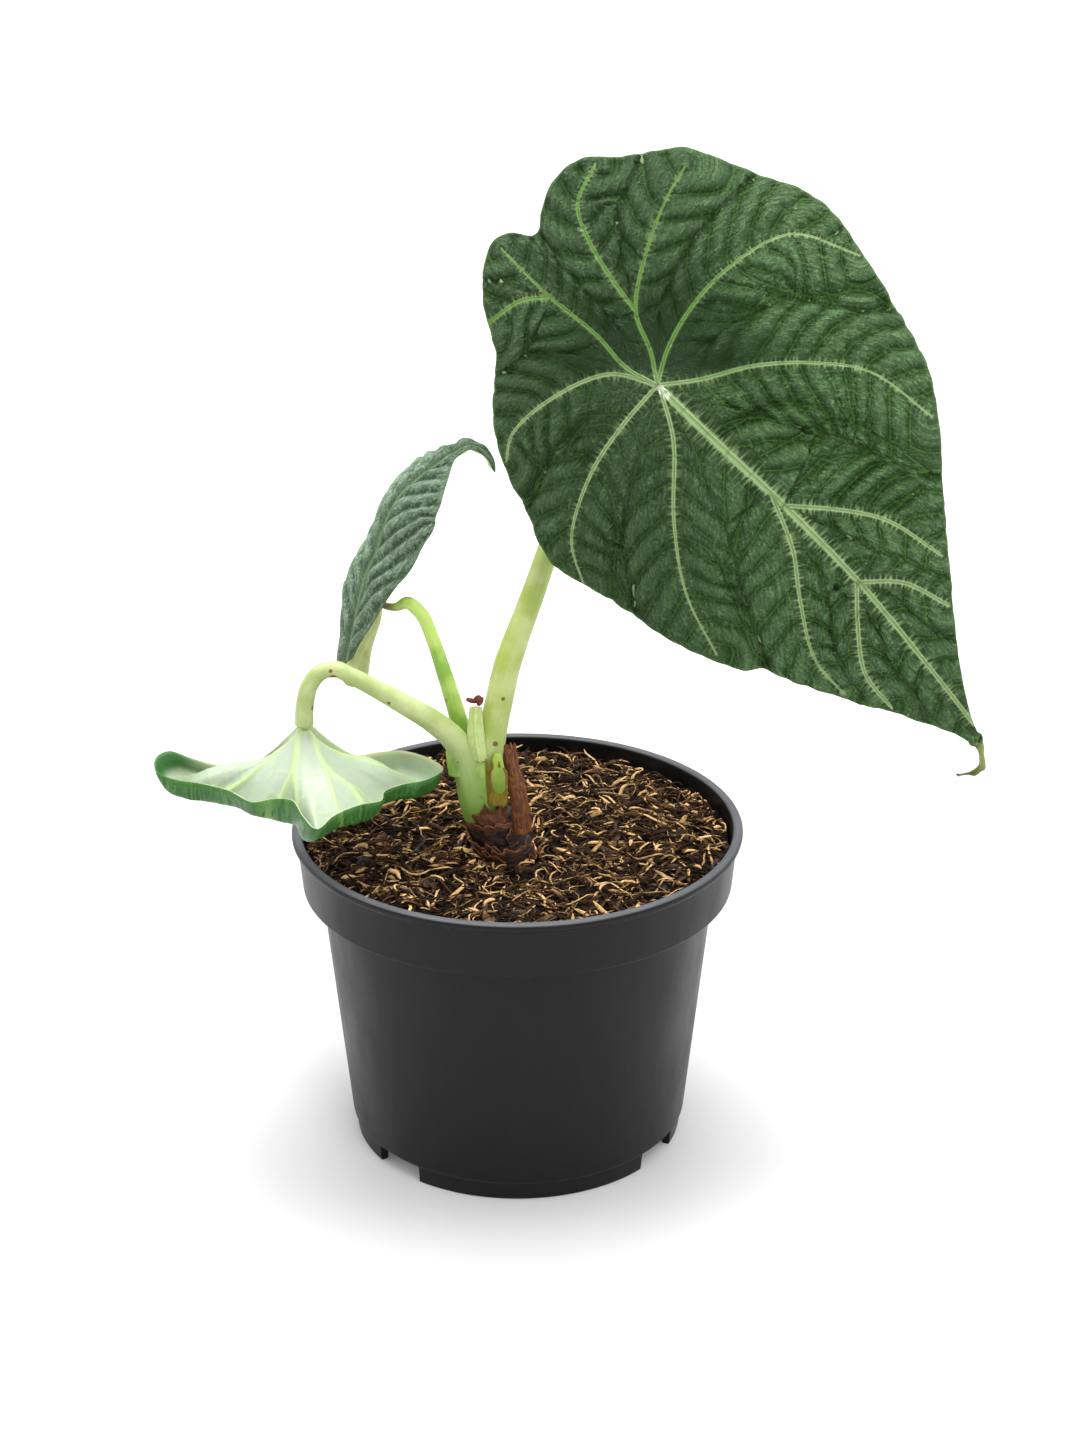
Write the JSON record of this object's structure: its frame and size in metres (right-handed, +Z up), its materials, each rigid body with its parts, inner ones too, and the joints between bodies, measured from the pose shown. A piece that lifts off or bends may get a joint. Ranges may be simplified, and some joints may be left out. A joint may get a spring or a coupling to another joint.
{
  "type": "potted maharani alocasia",
  "caption": "Young alocasia with broad, deeply veined shield leaves on pale stalks, rooted in bark soil in a round black nursery pot.",
  "frame": {"origin": "centre of the pot's base, on the surface the pot stands on", "axes": "+Z up, +X to the side that the large leaf hangs towards, -Y towards the side that the leaf faces"},
  "size_m": [0.2111, 0.12, 0.2697],
  "materials": {
    "pot_plastic": "satin moulded",
    "potting_mix": "moist coir and bark",
    "rhizome_skin": "rough, ringed",
    "stalk": "smooth, waxy",
    "pale_sheath": "thin, fibrous",
    "dry_sheath": "dry, fibrous",
    "dark_blade": "quilted, satin",
    "grey_blade": "quilted, matte",
    "pale_blade": "smooth, waxy"
  },
  "bodies": {
    "root": {"pot": "pot_plastic", "soil": "potting_mix", "rhizome": "rhizome_skin", "stem_base": "stalk", "petiole_1": "stalk", "petiole_2": "stalk", "petiole_3": "stalk", "leaf_1": "dark_blade", "leaf_2": "grey_blade", "leaf_3": "pale_blade", "sheath_stub": "pale_sheath", "sheath_tip": "dry_sheath", "bud": "stalk", "dry_sheath": "dry_sheath", "papery_scale": "dry_sheath"}
  },
  "joints": []
}
